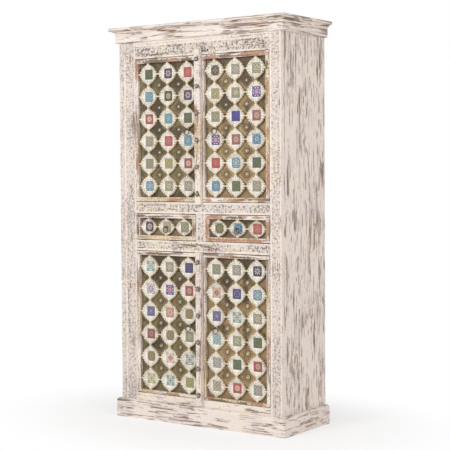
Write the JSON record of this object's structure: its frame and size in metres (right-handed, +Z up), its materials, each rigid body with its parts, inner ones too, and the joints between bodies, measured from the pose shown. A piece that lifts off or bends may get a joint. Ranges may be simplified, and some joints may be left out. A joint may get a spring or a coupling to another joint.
{
  "type": "cabinet",
  "caption": "Tall painted wooden cabinet with moulded cornice and plinth, tiled doors above and below tiled drawers, ring pulls, turn buttons and shelves inside.",
  "frame": {"origin": "on the floor, under the middle of the overall box", "axes": "+X towards the right side seen from the front, +Y towards the back, +Z up; doors and drawers face -Y"},
  "size_m": [0.96, 0.4, 1.8],
  "materials": {
    "painted_wood": "worn whitewash, matt",
    "bare_wood": "bare, dull",
    "carved_paint": "worn cream paint, matt",
    "dark_brass": "dark patina",
    "golden_brass": "warm patina",
    "tile_glaze": "glossy glaze",
    "iron": "dark, slightly rusty"
  },
  "bodies": {
    "carcass": {"left_side": "painted_wood", "right_side": "painted_wood", "back_boards": "bare_wood", "cornice_slab": "painted_wood", "cornice_mouldings": "painted_wood", "plinth_boards": "painted_wood", "face_frame_stiles": "painted_wood", "face_frame_rails": "painted_wood", "fixed_floors": "bare_wood", "drawer_guides": "bare_wood", "shelves": "bare_wood", "button_nails": "iron"},
    "upper_left_door": {"upper_left_frame": "painted_wood", "upper_left_board": "bare_wood", "upper_left_brass": "dark_brass", "upper_left_plaques": "carved_paint", "upper_left_tiles": "tile_glaze", "upper_left_fittings": "iron", "upper_strip": "painted_wood"},
    "upper_left_pull": {"upper_left_ring": "iron"},
    "upper_right_door": {"upper_right_frame": "painted_wood", "upper_right_board": "bare_wood", "upper_right_brass": "golden_brass", "upper_right_plaques": "carved_paint", "upper_right_tiles": "tile_glaze", "upper_right_fittings": "iron"},
    "upper_right_pull": {"upper_right_ring": "iron"},
    "lower_left_door": {"lower_left_frame": "painted_wood", "lower_left_board": "bare_wood", "lower_left_brass": "dark_brass", "lower_left_plaques": "carved_paint", "lower_left_tiles": "tile_glaze", "lower_left_fittings": "iron", "lower_strip": "painted_wood"},
    "lower_left_pull": {"lower_left_ring": "iron"},
    "lower_right_door": {"lower_right_frame": "painted_wood", "lower_right_board": "bare_wood", "lower_right_brass": "golden_brass", "lower_right_plaques": "carved_paint", "lower_right_tiles": "tile_glaze", "lower_right_fittings": "iron"},
    "lower_right_pull": {"lower_right_ring": "iron"},
    "left_drawer": {"left_drawer_front": "painted_wood", "left_drawer_box": "bare_wood", "left_drawer_brass": "dark_brass", "left_drawer_plaques": "carved_paint", "left_drawer_tiles": "tile_glaze", "left_drawer_staple": "iron"},
    "left_drawer_pull": {"left_drawer_ring": "iron"},
    "right_drawer": {"right_drawer_front": "painted_wood", "right_drawer_box": "bare_wood", "right_drawer_brass": "golden_brass", "right_drawer_plaques": "carved_paint", "right_drawer_tiles": "tile_glaze", "right_drawer_staple": "iron"},
    "right_drawer_pull": {"right_drawer_ring": "iron"},
    "upper_turn_button": {"upper_turn_button": "painted_wood"},
    "lower_turn_button": {"lower_turn_button": "painted_wood"}
  },
  "joints": [
    {"name": "upper_left_hinge", "type": "hinge", "parent": "carcass", "child": "upper_left_door", "pos_m": [-0.3375, -0.1645, 1.3275], "axis": [0, 0, -1], "range_deg": [0, 110]},
    {"name": "upper_left_ring_swing", "type": "hinge", "parent": "upper_left_door", "child": "upper_left_pull", "pos_m": [-0.05533, -0.1703, 1.3275], "axis": [-1, 0, 0], "range_deg": [0, 100]},
    {"name": "upper_right_hinge", "type": "hinge", "parent": "carcass", "child": "upper_right_door", "pos_m": [0.373, -0.1645, 1.3275], "axis": [0, 0, 1], "range_deg": [0, 110]},
    {"name": "upper_right_ring_swing", "type": "hinge", "parent": "upper_right_door", "child": "upper_right_pull", "pos_m": [0.095, -0.1703, 1.3275], "axis": [-1, 0, 0], "range_deg": [0, 100]},
    {"name": "lower_left_hinge", "type": "hinge", "parent": "carcass", "child": "lower_left_door", "pos_m": [-0.3375, -0.1645, 0.449], "axis": [0, 0, -1], "range_deg": [0, 110]},
    {"name": "lower_left_ring_swing", "type": "hinge", "parent": "lower_left_door", "child": "lower_left_pull", "pos_m": [-0.05533, -0.1703, 0.447], "axis": [-1, 0, 0], "range_deg": [0, 100]},
    {"name": "lower_right_hinge", "type": "hinge", "parent": "carcass", "child": "lower_right_door", "pos_m": [0.373, -0.1645, 0.449], "axis": [0, 0, 1], "range_deg": [0, 110]},
    {"name": "lower_right_ring_swing", "type": "hinge", "parent": "lower_right_door", "child": "lower_right_pull", "pos_m": [0.095, -0.1703, 0.447], "axis": [-1, 0, 0], "range_deg": [0, 100]},
    {"name": "left_drawer_slide", "type": "slide", "parent": "carcass", "child": "left_drawer", "axis": [0, -1, 0], "range_m": [0, 0.25]},
    {"name": "left_drawer_ring_swing", "type": "hinge", "parent": "left_drawer", "child": "left_drawer_pull", "pos_m": [-0.17738, -0.1713, 0.888], "axis": [-1, 0, 0], "range_deg": [0, 100]},
    {"name": "right_drawer_slide", "type": "slide", "parent": "carcass", "child": "right_drawer", "axis": [0, -1, 0], "range_m": [0, 0.25]},
    {"name": "right_drawer_ring_swing", "type": "hinge", "parent": "right_drawer", "child": "right_drawer_pull", "pos_m": [0.21288, -0.1713, 0.888], "axis": [-1, 0, 0], "range_deg": [0, 100]},
    {"name": "upper_turn_button_turn", "type": "hinge", "parent": "carcass", "child": "upper_turn_button", "pos_m": [0.06875, -0.1733, 1.67], "axis": [0, 1, 0], "range_deg": [-12, 78]},
    {"name": "lower_turn_button_turn", "type": "hinge", "parent": "carcass", "child": "lower_turn_button", "pos_m": [0.06875, -0.1733, 0.794], "axis": [0, 1, 0], "range_deg": [-12, 78]}
  ]
}
